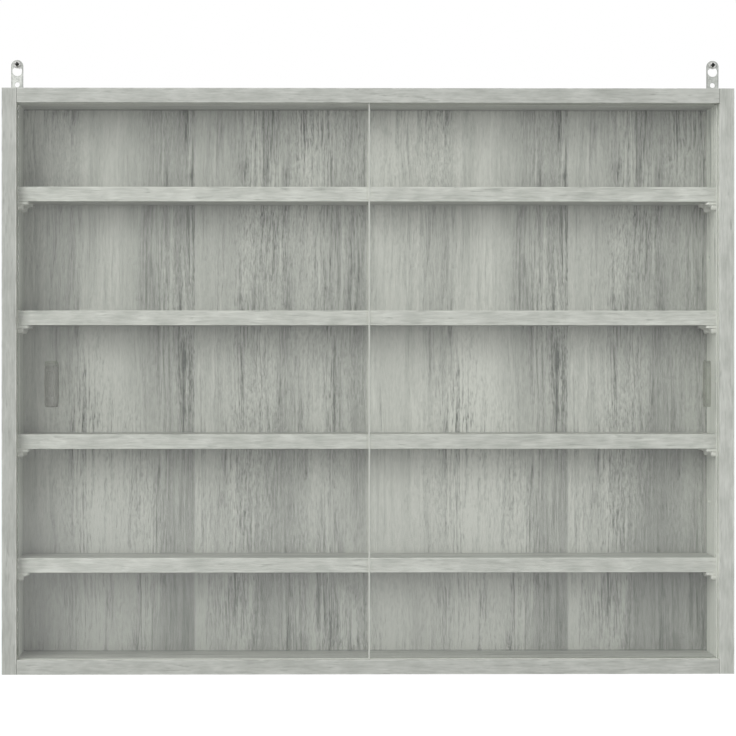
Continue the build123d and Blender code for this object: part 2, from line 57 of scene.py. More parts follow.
class Nodes:
    """A material's node tree with one short call for each kind of node."""

    def __init__(self, name):
        self.material = bpy.data.materials.new(name)
        self.material.use_nodes = True
        self.tree = self.material.node_tree
        self.tree.nodes.clear()
        self.output = self.add("ShaderNodeOutputMaterial")
        self.place = self.add("ShaderNodeTexCoord").outputs["Object"]

    def add(self, kind, inputs=None, **settings):
        """A node with its settings, and its inputs given as values or as sockets."""
        node = self.tree.nodes.new(kind)
        for key, value in settings.items():
            setattr(node, key, value)
        for key, value in (inputs or {}).items():
            self.feed(node.inputs[key], value)
        return node

    def feed(self, socket, value):
        """Put a value on a socket, or link another socket to it."""
        if isinstance(value, bpy.types.NodeSocket):
            self.tree.links.new(value, socket)
        else:
            socket.default_value = value

    def scaled(self, vector, scale, shift=(0, 0, 0)):
        """The place stretched by a scale on each axis and moved by a shift."""
        return self.add("ShaderNodeMapping", {"Vector": vector, "Scale": scale, "Location": shift}).outputs[0]

    def noise(self, vector, detail=3.0, rough=0.5, distortion=0.0):
        """Plain noise around one half."""
        inputs = {"Vector": vector, "Scale": 1.0}
        inputs.update({"Detail": detail, "Roughness": rough, "Distortion": distortion})
        return self.add("ShaderNodeTexNoise", inputs).outputs["Fac"]

    def grain(self, vector, across, along, axis, seed, **settings):
        """Noise that is fine across the grain and coarse along it."""
        return self.noise(self.scaled(vector, stretch(across, along, axis), seeded(seed)), **settings)

    def cells(self, vector, output="Distance"):
        """Scattered cells: the distance to the nearest middle, or each cell's own colour."""
        return self.add("ShaderNodeTexVoronoi", {"Vector": vector, "Scale": 1.0}).outputs[output]

    def math(self, operation, a, b=0.0, clamp=False):
        """One arithmetic step on two numbers."""
        return self.add("ShaderNodeMath", {0: a, 1: b}, operation=operation, use_clamp=clamp).outputs[0]

    def total(self, *parts):
        """The sum of (value, weight) pairs."""
        result = 0.0
        for value, weight in parts:
            node = self.add("ShaderNodeMath", {0: value, 1: weight, 2: result}, operation="MULTIPLY_ADD")
            result = node.outputs[0]
        return result

    def span(self, value, low, high, to_low=0.0, to_high=1.0, smooth=True):
        """A value carried from one range to another and held at its ends."""
        kind = "SMOOTHSTEP" if smooth else "LINEAR"
        inputs = {"Value": value, "From Min": low, "From Max": high, "To Min": to_low, "To Max": to_high}
        return self.add("ShaderNodeMapRange", inputs, interpolation_type=kind).outputs[0]

    def blend(self, share, a, b, how="MIX"):
        """Two colours mixed by a share."""
        node = self.add("ShaderNodeMix", data_type="RGBA", blend_type=how)
        self.feed(node.inputs[0], share)
        self.feed(node.inputs[6], a)
        self.feed(node.inputs[7], b)
        return node.outputs[2]

    def ramp(self, value, stops):
        """A number read from a row of (place, height) stops with straight runs between them."""
        node = self.add("ShaderNodeValToRGB", {0: value})
        band = node.color_ramp
        while len(band.elements) < len(stops):
            band.elements.new(0.5)
        for element, (place, height) in zip(band.elements, stops):
            element.position = place
            element.color = (height, height, height, 1)
        return node.outputs[0]

    def axis(self, vector, which):
        """One part of a vector."""
        return self.add("ShaderNodeSeparateXYZ", {0: vector}).outputs[which]

    def arris(self, node):
        """The distance to the nearest long edge of a box-shaped piece: the middle one of three distances."""
        low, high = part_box(node)
        away = []
        for which in range(3):
            middle, half = (low[which] + high[which]) / 2, (high[which] - low[which]) / 2
            offset = self.math("ABSOLUTE", self.math("SUBTRACT", self.axis(self.place, which), middle))
            away.append(self.math("SUBTRACT", half, offset))
        least = self.math("MINIMUM", self.math("MINIMUM", away[0], away[1]), away[2])
        most = self.math("MAXIMUM", self.math("MAXIMUM", away[0], away[1]), away[2])
        return self.total((away[0], 1.0), (away[1], 1.0), (away[2], 1.0), (least, -1.0), (most, -1.0))

    def rubbed(self, node, width, seed):
        """The share of wear along the long edges of a box-shaped piece, broken up by noise."""
        near = self.span(self.arris(node), width * 0.3, width, 1.0, 0.0)
        patches = self.noise(self.scaled(self.place, (60, 60, 60), seeded(seed)), detail=3)
        return self.math("MULTIPLY", near, self.span(patches, 0.38, 0.62))

    def bump(self, height, strength, distance):
        """A normal raised by a height."""
        inputs = {"Height": height, "Strength": strength, "Distance": distance}
        return self.add("ShaderNodeBump", inputs).outputs[0]

    def shader(self, **inputs):
        """A main shader. Underscores in a name stand for its spaces."""
        named = {key.replace("_", " "): value for key, value in inputs.items()}
        return self.add("ShaderNodeBsdfPrincipled", named).outputs[0]

    def mixed(self, share, first, second):
        """Two shaders mixed by a share."""
        return self.add("ShaderNodeMixShader", {0: share, 1: first, 2: second}).outputs[0]

    def finish(self, shader):
        """Wire a shader to the output and give back the material."""
        self.feed(self.output.inputs["Surface"], shader)
        return self.material


def linear(red, green, blue):
    """A screen colour from 0 to 255 as the linear colour that shaders take."""
    values = np.array([red, green, blue], float) / 255
    return (*np.where(values <= 0.04045, values / 12.92, ((values + 0.055) / 1.055) ** 2.4).tolist(), 1.0)


def toned(colour, share):
    """A colour made lighter or darker by a share of its light."""
    return (*(part * share for part in colour[:3]), 1.0)


def stretch(across, along, axis):
    """A scale that is fine across the grain and coarse along it."""
    scale = [across] * 3
    scale[axis] = along
    return scale


def seeded(number):
    """A shift that gives each material its own stretch of noise."""
    return (3.7 * number, 5.3 * number, 7.1 * number)


RUBBED = linear(204, 206, 200)
GRAIN_SWAY = 0.016

# The back sheet's print repeats across the sheet. Each stop is a place in one repeat and the tone there,
# and two stops close together are the joint between two printed planks.
PRINT_START = -0.1915
PRINT_REPEAT = 0.4195
PRINT_TONES = (
    (0.000, 0.68), (0.100, 0.60), (0.190, 0.33), (0.280, 0.27), (0.340, 0.40), (0.454, 0.20),
    (0.460, 0.80), (0.520, 0.92), (0.600, 0.78), (0.680, 0.50), (0.700, 0.82), (0.800, 0.88),
    (0.845, 0.58), (0.930, 0.18), (0.994, 0.00), (1.000, 0.68),
)


def oak_figure(made, axis, seed, printed=False):
    """The darkness of printed grey oak from 0 to 1, its cut pores, and its fibres.

    Bands, streaks and fibres are noises stretched along the grain, each finer than the one before, and specks
    are finer still. Cracks and hairs are the thin lines where a stretched noise crosses a few of its levels,
    gated into short lengths. Combs are groups of long parallel lines. Flames are the contour lines of a slow
    noise, and pores are the peaks of a fine one. The lines sway a little together, and all the detail stands
    out more where the sheet is busy. The weights in each sum are chosen.
    A printed sheet reads all of them from its place within one repeat of the print.
    """
    place = made.place
    if printed:
        x, y, z = (made.axis(place, which) for which in range(3))
        repeats = made.math("DIVIDE", made.math("SUBTRACT", x, PRINT_START), PRINT_REPEAT)
        share = made.math("FRACT", repeats)
        in_repeat = made.math("MULTIPLY", share, PRINT_REPEAT)
        place = made.add("ShaderNodeCombineXYZ", {0: in_repeat, 1: y, 2: z}).outputs[0]
    sway = made.total((made.grain(place, 7, 5, axis, seed, detail=1), GRAIN_SWAY))
    sway = made.add("ShaderNodeCombineXYZ", {0: sway, 1: sway, 2: sway}).outputs[0]
    swayed = made.add("ShaderNodeVectorMath", {0: place, 1: sway}, operation="ADD").outputs[0]

    def along(across, length, turn, **settings):
        """Noise along the swayed grain, each turn from its own stretch."""
        return made.grain(swayed, across, length, axis, seed + turn, **settings)

    def lines(source, levels, width):
        """Thin lines along the contours of a noise."""
        away = made.math("PINGPONG", made.math("MULTIPLY", source, levels), 0.5)
        return made.span(away, 0.5 - width, 0.5)

    bands = along(34, 1.7, 1, detail=4, rough=0.6)
    tone = 0.58
    if printed:
        jagged = made.math("ADD", share, made.total((bands, 0.02)))
        tone = made.ramp(made.math("SUBTRACT", jagged, 0.01, clamp=True), PRINT_TONES)
    streaks = along(130, 10, 2, detail=4, rough=0.65)
    fibres = along(470, 48, 3, detail=3, rough=0.7)
    specks = made.grain(place, 850, 240, axis, seed + 10, detail=2, rough=0.6)
    clouds = made.grain(place, 14, 5, axis, seed + 4, detail=4, rough=0.6)
    contours = lines(along(12, 1.6, 5, detail=2), 15.0, 0.16)
    flames = made.math("MULTIPLY", contours, made.span(clouds, 0.44, 0.6))
    darker = made.math("MULTIPLY", made.math("SUBTRACT", 0.5, tone), 0.08)
    gate = made.math("ADD", along(48, 6, 6, detail=3), darker)
    cracks = lines(along(125, 4.5, 7, detail=3), 3.0, 0.09)
    cracks = made.math("MULTIPLY", cracks, made.span(gate, 0.49, 0.62))
    hairs = lines(along(270, 12, 8, detail=3), 3.0, 0.15)
    hairs = made.math("MULTIPLY", hairs, made.span(gate, 0.38, 0.58))
    pores = made.span(along(900, 110, 9, detail=2), 0.52, 0.66)
    combs = made.math("SUBTRACT", along(330, 8, 12, detail=1), 0.5)
    combs = made.math("MULTIPLY", combs, made.span(gate, 0.36, 0.60, 0.25, 1.3))
    detail = made.total(
        (streaks, -0.30),
        (fibres, -0.52),
        (specks, -0.80),
        (combs, -0.92),
        (flames, 0.10),
        (cracks, 0.44),
        (hairs, 0.30),
        (pores, 0.20),
    )
    busy = made.grain(place, 8, 2.4, axis, seed + 11, detail=2)
    busy = made.span(busy, 0.36, 0.62, 0.56, 1.46)
    busy = made.math("SUBTRACT", busy, made.math("MULTIPLY", tone, 0.15))
    detail = made.math("MULTIPLY", made.math("ADD", detail, 0.61), busy)
    dark = made.total((bands, -0.70), (clouds, -0.50), (tone, -0.48), (detail, 1.0))
    dark = made.math("ADD", dark, 1.26)
    cut = made.math("MAXIMUM", made.math("MAXIMUM", cracks, pores), made.math("MULTIPLY", hairs, 0.6))
    return made.math("ADD", dark, 0.0, clamp=True), cut, fibres


# Where one finish of a board or of the back sheet gives way to the next, and where its painted shade begins
# and ends, in metres. A pair is a soft change.
ARRIS_WEAR = 0.0012
UNDERSIDE_RISE = (0.0002, 0.0006)
INSIDE_DEPTH = (0.007, 0.009)
CUT_EDGE_Y = (-0.0005, -0.0003)
DARKER_FROM_Y = FRONT_Y + 0.006
BACK_REAR_SKIN_Y = (BACK_REAR_Y - 0.0006, BACK_REAR_Y - 0.0003)
BACK_CORNER_SHADE_WIDTH = (0.0004, 0.0022)
BACK_FOOT_Z = (FLOOR_Z, FLOOR_Z + 0.26)
BACK_LEFT_X = (-0.30, 0.12)
BACK_LEFT_CORNER_X = (-INNER_X, -INNER_X + 0.05)
BACK_RIGHT_X = (0.25, 0.36)

# How much painted shade darkens the back sheet: in its corners with the ceiling and floor, at its foot and
# towards its left and right sides. In the last corner on the left, the left side's painted shade falls to a
# share.
BACK_CORNER_PAINTED_SHADE = 0.45
BACK_FOOT_SHADE = 0.34
BACK_LEFT_SHADE = 0.14
BACK_LEFT_CORNER_SHARE = 0.4
BACK_RIGHT_SHADE = 0.28


def oak_board(name, node, axis, seed, light, dark, painted_rear_shade, under):
    """A faced board: printed oak on its faces and raw chips on its cut rear edge.

    It is rubbed pale along its edges. Inside the case, painted shade darkens it towards the back by one
    share, and painted shade darkens its underside by another.
    """
    made = Nodes(name)
    shade, pores, fibres = oak_figure(made, axis, seed)
    worn = made.math("MULTIPLY", made.rubbed(node, ARRIS_WEAR, seed), 0.5)
    face = made.blend(worn, made.blend(shade, light, dark), RUBBED)
    chips = made.cells(made.scaled(made.place, (420, 420, 300), seeded(seed + 8)), "Color")
    chips = made.axis(chips, X_AXIS)
    crumbs = made.noise(made.scaled(made.place, (900, 900, 900), seeded(seed + 9)), detail=2)
    raw = made.blend(made.total((chips, 0.7), (crumbs, 0.4)), linear(128, 104, 74), linear(206, 182, 142))
    x, y, z = (made.axis(made.place, which) for which in range(3))
    sideways = made.math("SUBTRACT", CASE_HIGH.x, made.math("ABSOLUTE", x))
    from_top, from_bottom = made.math("SUBTRACT", CASE_HIGH.z, z), made.math("SUBTRACT", z, CASE_LOW.z)
    upright = made.math("MINIMUM", from_top, from_bottom)
    inside = made.span(made.math("MINIMUM", sideways, upright), *INSIDE_DEPTH)
    # Painted shade: inside the case the board is darkened towards the back, where less light reaches
    deep = made.span(y, DARKER_FROM_Y, BACK_REAR_Y, 0.0, painted_rear_shade, smooth=False)
    painted_depth_shade = made.math("MULTIPLY", deep, inside)
    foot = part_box(node)[0].z
    # Painted shade: the underside is darkened, as less light reaches it
    below = made.span(made.math("SUBTRACT", z, foot), *UNDERSIDE_RISE, under, 0.0)
    face = made.blend(made.math("MAXIMUM", painted_depth_shade, below), face, toned(dark, 0.8))
    cut = made.span(y, *CUT_EDGE_Y)
    height = made.total((pores, -1.0), (fibres, 0.35))
    rough = made.total((fibres, 0.16), (cut, 0.3))
    return made.finish(made.shader(
        Base_Color=made.blend(cut, face, raw),
        Roughness=made.math("ADD", rough, 0.42),
        Specular_IOR_Level=0.4,
        Normal=made.bump(height, 0.35, 0.00012),
    ))


def oak_back(name, light, dark):
    """The back sheet: oak printed in planks on its front, raw fibres on its rear.

    Painted shade darkens the print where it meets the ceiling and floor, towards its foot and towards its
    sides; in the last corner on the left, the left side's painted shade falls to a share.
    """
    made = Nodes(name)
    shade, pores, fibres = oak_figure(made, Z_AXIS, 11, printed=True)
    face = made.blend(shade, light, dark)
    matted = made.noise(made.scaled(made.place, (260, 260, 260)), detail=5, rough=0.75, distortion=0.8)
    patches = made.noise(made.scaled(made.place, (9, 9, 9)), detail=2)
    raw = made.blend(made.total((matted, 0.8), (patches, 0.5)), linear(110, 84, 58), linear(178, 146, 106))
    x, y, z = (made.axis(made.place, which) for which in range(3))
    rear = made.span(y, *BACK_REAR_SKIN_Y)
    inset = made.math("MINIMUM", made.math("SUBTRACT", CEILING_Z, z), made.math("SUBTRACT", z, FLOOR_Z))
    # Painted shade: a dark line where the sheet meets the ceiling and the floor
    painted_corner_shade = made.span(inset, *BACK_CORNER_SHADE_WIDTH, BACK_CORNER_PAINTED_SHADE, 0.0)
    face = made.blend(painted_corner_shade, face, linear(60, 62, 57))
    # Painted shade: the sheet is darkened towards its foot, where the light falls off
    painted_foot_shade = made.span(z, *BACK_FOOT_Z, BACK_FOOT_SHADE, 0.0)
    # Painted shade: the sheet is darkened towards its left and right sides, for how the light falls across it
    painted_left_shade = made.span(x, *BACK_LEFT_X, BACK_LEFT_SHADE, 0.0)
    corner = made.span(x, *BACK_LEFT_CORNER_X, BACK_LEFT_CORNER_SHARE)
    painted_left_shade = made.math("MULTIPLY", painted_left_shade, corner)
    painted_right_shade = made.span(x, *BACK_RIGHT_X, 0.0, BACK_RIGHT_SHADE)
    face = made.blend(made.total((painted_foot_shade, 1.0), (painted_left_shade, 1.0), (painted_right_shade, 1.0)), face, dark)
    return made.finish(made.shader(
        Base_Color=made.blend(rear, face, raw),
        Roughness=made.total((fibres, 0.14), (rear, 0.3), (matted, 0.1)),
        Specular_IOR_Level=0.4,
        Normal=made.bump(made.total((pores, -1.0), (fibres, 0.3), (matted, 0.2)), 0.3, 0.00012),
    ))


BAND_WEAR = 0.0014
SEAM = (-0.0008, -0.0002)


def oak_band(name, node, axis, seed, light, dark, figure, ends=None):
    """An edge band: short lengthwise streaks, soft patches and dark dashes, rubbed pale along its edges.

    Figure is how strongly all of them stand out. Ends is how far from the middle the band meets the next one,
    where a painted shadow line marks the seam across the last part of a millimetre.
    """
    made = Nodes(name)

    def along(across, length, turn, **settings):
        """Noise along the band, each turn from its own stretch."""
        return made.grain(made.place, across, length, axis, seed + turn, **settings)

    lines = along(640, 60, 0, detail=3, rough=0.65)
    strips = along(240, 30, 1, detail=4, rough=0.65)
    patches = along(50, 34, 2, detail=4)
    dashes = made.span(along(420, 55, 3, detail=2), 0.58, 0.70)
    dashes = made.math("MULTIPLY", dashes, made.span(patches, 0.42, 0.6))
    shade = made.total((lines, -0.90), (strips, -0.80), (patches, -1.00), (dashes, 0.40))
    shade = made.math("MULTIPLY", made.math("ADD", shade, 1.32), figure)
    shade = made.math("ADD", shade, 0.46, clamp=True)
    worn = made.math("MULTIPLY", made.rubbed(node, BAND_WEAR, seed), 0.6)
    colour = made.blend(worn, made.blend(shade, light, dark), RUBBED)
    if ends:
        away = made.math("ABSOLUTE", made.axis(made.place, X_AXIS))
        # Painted shade: a dark line across the band where the gap to the next band lies
        painted_seam_shade = made.span(away, *(ends + inset for inset in SEAM))
        colour = made.blend(made.math("MULTIPLY", painted_seam_shade, 0.8), colour, linear(70, 72, 66))
    return made.finish(made.shader(
        Base_Color=colour,
        Roughness=made.math("ADD", made.total((lines, 0.2)), 0.38),
        Specular_IOR_Level=0.4,
        Normal=made.bump(made.total((lines, 0.6), (dashes, -0.8)), 0.3, 0.0001),
    ))


def moulded_plastic(name, light, dark, grain, roughness, axis=None):
    """Moulded or extruded plastic: slight mottling, and fine die lines where it was extruded."""
    made = Nodes(name)
    mottle = made.noise(made.scaled(made.place, (140, 140, 140)), detail=3)
    scale = (grain, grain, grain) if axis is None else stretch(grain, grain / 80, axis)
    skin = made.noise(made.scaled(made.place, scale), detail=2, rough=0.6)
    return made.finish(made.shader(
        Base_Color=made.blend(made.total((mottle, 0.6), (skin, 0.5)), light, dark),
        Roughness=made.math("ADD", made.total((skin, 0.22), (mottle, 0.1)), roughness - 0.16),
        Normal=made.bump(skin, 0.25, 0.00008),
    ))


def plated_metal(name, light, dark, roughness, spangle, scratch, marks=None):
    """Plated metal: spangles of slightly different tone, rubbed lines and dull spots.

    Marks is a function that gives the share of a dark colour at each place, such as a darker outline on the
    hangers and painted shade of a cross recess on the wall screws.
    """
    made = Nodes(name)
    flakes = made.axis(made.cells(made.scaled(made.place, (spangle, spangle, spangle)), "Color"), X_AXIS)
    rubbed = made.noise(made.scaled(made.place, (scratch, scratch, scratch / 12)), detail=4, rough=0.7)
    dull = made.noise(made.scaled(made.place, (90, 90, 90)), detail=3)
    tone = made.total((flakes, 0.35), (rubbed, 0.6), (dull, 0.3))
    colour = made.blend(made.math("SUBTRACT", tone, 0.15, clamp=True), light, dark)
    if marks:
        # The marks' dark colour, which on the wall screws is painted shade of the cross recess
        colour = made.blend(marks(made), colour, linear(30, 30, 29))
    return made.finish(made.shader(
        Base_Color=colour,
        Metallic=1.0,
        Roughness=made.math("ADD", made.total((dull, 0.2), (rubbed, 0.12)), roughness - 0.16),
        Normal=made.bump(rubbed, 0.2, 0.00005),
    ))


def beech_dowel(name):
    """Beech: short dark flecks on a warm ground."""
    made = Nodes(name)
    flecks = made.noise(made.scaled(made.place, (90, 1400, 1400)), detail=2)
    return made.finish(made.shader(
        Base_Color=made.blend(made.span(flecks, 0.4, 0.7), linear(206, 176, 132), linear(164, 126, 84)),
        Roughness=0.7,
        Normal=made.bump(flecks, 0.3, 0.0001),
    ))


def pane_glass(name, door, left_ground, right_ground, glossy_from=-1.0):
    """A clear pane whose long sides are ground matt, with faint smears that dull its gloss.

    Each ground side is a width and a tone. The pane has no gloss to the left of a place, which keeps the
    strip behind the other pane as clear as the rest.
    """
    made = Nodes(name)
    low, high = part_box(door)
    middle = (low.x + high.x) / 2
    x = made.axis(made.place, X_AXIS)
    (left_width, left_tone), (right_width, right_tone) = left_ground, right_ground
    ground = made.math(
        "MAXIMUM",
        made.span(x, low.x + left_width * 0.8, low.x + left_width, 1.0, 0.0),
        made.span(x, high.x - right_width, high.x - right_width * 0.8),
    )
    on_right = made.span(x, middle, middle + 0.001)
    smears = made.noise(made.scaled(made.place, (14, 14, 5)), detail=5, rough=0.6, distortion=1.2)
    wheel = made.noise(made.scaled(made.place, (500, 500, 900)), detail=2)
    clear = made.shader(
        Base_Color=linear(252, 253, 252),
        Roughness=made.span(smears, 0.45, 0.8, 0.0, 0.035),
        Transmission_Weight=1.0,
        IOR=1.5,
    )
    pale, dull = linear(213, 215, 209), linear(190, 193, 187)
    left_colour = made.blend(wheel, toned(pale, left_tone), toned(dull, left_tone))
    right_colour = made.blend(wheel, toned(pale, right_tone), toned(dull, right_tone))
    matt = made.shader(
        Base_Color=made.blend(on_right, left_colour, right_colour),
        Roughness=0.55,
        Transmission_Weight=0.35,
        Normal=made.bump(wheel, 0.4, 0.0001),
    )
    path = made.add("ShaderNodeLightPath").outputs
    open_rays = made.math("MAXIMUM", path["Is Shadow Ray"], path["Is Diffuse Ray"])
    covered = made.span(x, glossy_from, glossy_from + 0.0001, 1.0, 0.0)
    open_rays = made.math("MAXIMUM", open_rays, covered)
    through = made.add("ShaderNodeBsdfTransparent", {0: linear(253, 253, 252)}).outputs[0]
    return made.finish(made.mixed(open_rays, made.mixed(ground, clear, matt), through))


def smoked_plastic(name, node, smoke, fade, light, dark):
    """Smoked see-through plastic for a finger pull, with a worn, slightly cloudy skin.

    The smoke thins out over the fade length at its upper end.
    """
    made = Nodes(name)
    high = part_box(node)[1]
    cloud = made.noise(made.scaled(made.place, (160, 160, 70)), detail=4)
    rubbed = made.noise(made.scaled(made.place, (900, 900, 120)), detail=3)
    body = made.shader(
        Base_Color=made.blend(cloud, light, dark),
        Roughness=made.math("ADD", made.total((rubbed, 0.3)), 0.2),
        Normal=made.bump(rubbed, 0.3, 0.0001),
    )
    through = made.add("ShaderNodeBsdfTransparent", {0: linear(248, 249, 247)}).outputs[0]
    slope = made.add("ShaderNodeLayerWeight", {"Blend": 0.5}).outputs["Facing"]
    solid = made.math("ADD", made.total((cloud, 0.12), (slope, 0.7)), smoke, clamp=True)
    upper = made.span(made.axis(made.place, Z_AXIS), high.z - fade, high.z, 1.0, 0.0)
    return made.finish(made.mixed(made.math("MULTIPLY", solid, upper), through, body))


def dress(material, *names):
    """Give the named CAD nodes one material."""
    for name in names:
        mesh = nodes[name].data
        mesh.materials.clear()
        mesh.materials.append(material)


BOARD_LIGHT, BOARD_DARK = linear(198, 200, 193), linear(112, 116, 109)
BAND_LIGHT, BAND_DARK = linear(198, 200, 194), linear(142, 145, 138)


def band(node, axis, seed, tone=1.0, figure=1.0, ends=None):
    """Band one edge. Each strip is from another part of the roll, so each has its own figure; its tone is
    partly the roll's and partly painted light and shade, for how brightly each face is lit.
    """
    light, dark = toned(BAND_LIGHT, tone), toned(BAND_DARK, tone)
    dress(oak_band(f"{node}_oak", node, axis, seed, light, dark, figure, ends), node)


def board(node, axis, seed, tone=1.0, painted_rear_shade=0.34, under=0.0):
    """Face one board."""
    light, dark = toned(BOARD_LIGHT, tone), toned(BOARD_DARK, tone)
    dress(oak_board(f"{node}_oak", node, axis, seed, light, dark, painted_rear_shade, under), node)


# Of each side and level: the tone of its band, which is partly painted shade; the tone of its board, which is
# painted light that brightens its faces; and the share of painted shade that darkens the board's rear
SIDE_FINISHES = (("left", 0.86, 1.74, 0.60), ("right", 1.005, 1.62, 0.24))
LEVEL_FINISHES = (("top", 0.935, 1.20, 0.56), ("bottom", 0.895, 1.04, 0.34))
for number, (side, tone, painted_light_tone, painted_rear_shade) in enumerate(SIDE_FINISHES):
    board(f"{side}_side_panel", Z_AXIS, 21 + number, painted_light_tone, painted_rear_shade)
    band(f"{side}_side_front_band", Z_AXIS, 31 + number, tone, 0.85)
    band(f"{side}_side_top_end_band", Y_AXIS, 35 + number)
    band(f"{side}_side_bottom_end_band", Y_AXIS, 38 + number)
for number, (level, tone, painted_light_tone, painted_rear_shade) in enumerate(LEVEL_FINISHES):
    board(f"{level}_panel", X_AXIS, 41 + number, painted_light_tone, painted_rear_shade)
    band(f"{level}_front_band", X_AXIS, 51 + number, tone, 0.90, INNER_X)
for number in range(1, 5):
    # Painted shade darkens each shelf's underside
    board(f"shelf_{number}", X_AXIS, 61 + number, under=0.30)
    # Each shelf band is toned a little darker than the one above it: painted shade, for light that falls off
    # lower down
    band(f"shelf_{number}_front_band", X_AXIS, 71 + 4 * number, 1.025 - 0.022 * number, 1.25)
dress(oak_back("back_print", linear(194, 196, 189), linear(81, 85, 79)), "back_panel")

support_light, support_dark = linear(214, 215, 209), linear(192, 194, 187)
support_plastic = moulded_plastic("support_plastic", support_light, support_dark, 700, 0.46)
dress(support_plastic, *(name for name in nodes if "_support_" in name))
track_light, track_dark = linear(226, 228, 221), linear(206, 208, 201)
track_plastic = moulded_plastic("track_plastic", track_light, track_dark, 900, 0.45, X_AXIS)
dress(track_plastic, "top_track", "bottom_track")


OUTLINE_DARK_WIDTH = (0.0001, 0.0014)
CROSS_ARM = (0.0008, 0.0013)
CROSS_REACH = (0.0022, 0.0028)
SCREW_HEAD_Y = (-0.0012, -0.0008)


def sheared_edges(made):
    """A darker band along the sheared outline of a hanger, whose upper end is a half circle."""
    low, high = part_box("right_wall_hanger")
    half = (high.x - low.x) / 2
    x = made.math("SUBTRACT", made.math("ABSOLUTE", made.axis(made.place, X_AXIS)), low.x + half)
    z = made.math("SUBTRACT", made.axis(made.place, Z_AXIS), high.z - half)
    z = made.math("MAXIMUM", z, 0.0)
    squares = made.math("ADD", made.math("POWER", x, 2.0), made.math("POWER", z, 2.0))
    inset = made.math("SUBTRACT", half, made.math("SQRT", squares))
    return made.span(inset, *OUTLINE_DARK_WIDTH, 0.30, 0.0)


def painted_recess_shade(made):
    """Painted shade of the cross recess that the driver fits, on the domed head of a wall screw, which has no
    recess of its own.
    """
    low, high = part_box("right_wall_screw")
    x, y, z = (made.axis(made.place, which) for which in range(3))
    x = made.math("SUBTRACT", made.math("ABSOLUTE", x), (low.x + high.x) / 2)
    z = made.math("SUBTRACT", z, (low.z + high.z) / 2)
    x, z = made.math("ABSOLUTE", x), made.math("ABSOLUTE", z)
    narrow = made.span(made.math("MINIMUM", x, z), *CROSS_ARM, 1.0, 0.0)
    short = made.span(made.math("MAXIMUM", x, z), *CROSS_REACH, 1.0, 0.0)
    head = made.span(y, *SCREW_HEAD_Y, 1.0, 0.0)
    return made.math("MULTIPLY", made.math("MULTIPLY", narrow, short), head)


hanger_tones = linear(200, 202, 198), linear(138, 141, 137)
hanger_zinc = plated_metal("hanger_zinc", *hanger_tones, 0.64, 520, 900, sheared_edges)
dress(hanger_zinc, "left_wall_hanger", "right_wall_hanger")
head_tones = linear(226, 226, 223), linear(168, 168, 166)
wall_screw_steel = plated_metal("wall_screw_steel", *head_tones, 0.34, 900, 1500, painted_recess_shade)
dress(wall_screw_steel, "left_wall_screw", "right_wall_screw")
screw_zinc = plated_metal("screw_zinc", linear(214, 214, 210), linear(150, 150, 146), 0.3, 900, 1500)
dress(screw_zinc, "left_hanger_screws", "right_hanger_screws", "cam_bolts")
cam_zinc = plated_metal("cam_zinc", linear(190, 190, 186), linear(120, 120, 118), 0.45, 500, 900)
dress(cam_zinc, "cam_locks")
dress(beech_dowel("dowel_beech"), "corner_dowels")
dress(pane_glass("left_pane", "left_door_glass", (0.0004, 1.02), (0.0020, 1.02)), "left_door_glass")
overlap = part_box("left_door_glass")[1].x
right_pane = pane_glass("right_pane", "right_door_glass", (0.0005, 0.75), (0.0015, 1.05), overlap)
dress(right_pane, "right_door_glass")


# The finger pulls' shape. Turns and rings are the points around an outline and from its middle to its edge.
PULL_TURNS, PULL_RINGS = 144, 34
CORNER_POWER = 9
LIP_SLOPE = 0.12
THIN_EDGE = 0.25
LEAST_PLATE = 0.15
RIM_FROM, RIM_DROP = 0.93, 0.75


